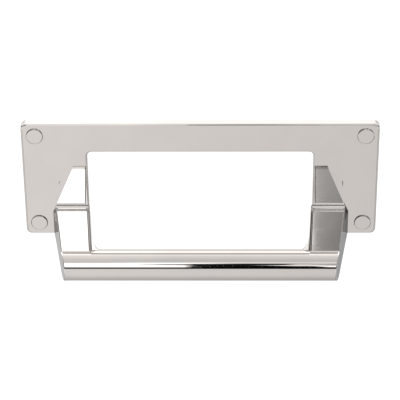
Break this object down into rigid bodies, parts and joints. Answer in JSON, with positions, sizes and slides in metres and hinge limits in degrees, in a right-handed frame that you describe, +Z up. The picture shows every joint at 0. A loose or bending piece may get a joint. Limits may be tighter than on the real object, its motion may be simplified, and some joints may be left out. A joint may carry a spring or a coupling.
{
  "type": "bar pull",
  "caption": "Fixed bar pull: a round bar carried by two stepped, tapered arms on a flat U-shaped backplate with riveted corners, screwed on from behind.",
  "frame": {"origin": "midway between the two screw holes, on the back face of the plate, which lies against the drawer front", "axes": "+X along the bar, +Y back into the drawer front, +Z up as mounted"},
  "size_m": [0.1334, 0.0283, 0.056],
  "materials": {
    "plate_metal": "mirror polished, warm nickel tone",
    "handle_metal": "mirror polished, warm nickel tone",
    "rivet_metal": "mirror polished, warm nickel tone"
  },
  "bodies": {
    "root": {"backplate": "plate_metal", "handle": "handle_metal", "corner_rivets": "rivet_metal"}
  },
  "joints": []
}
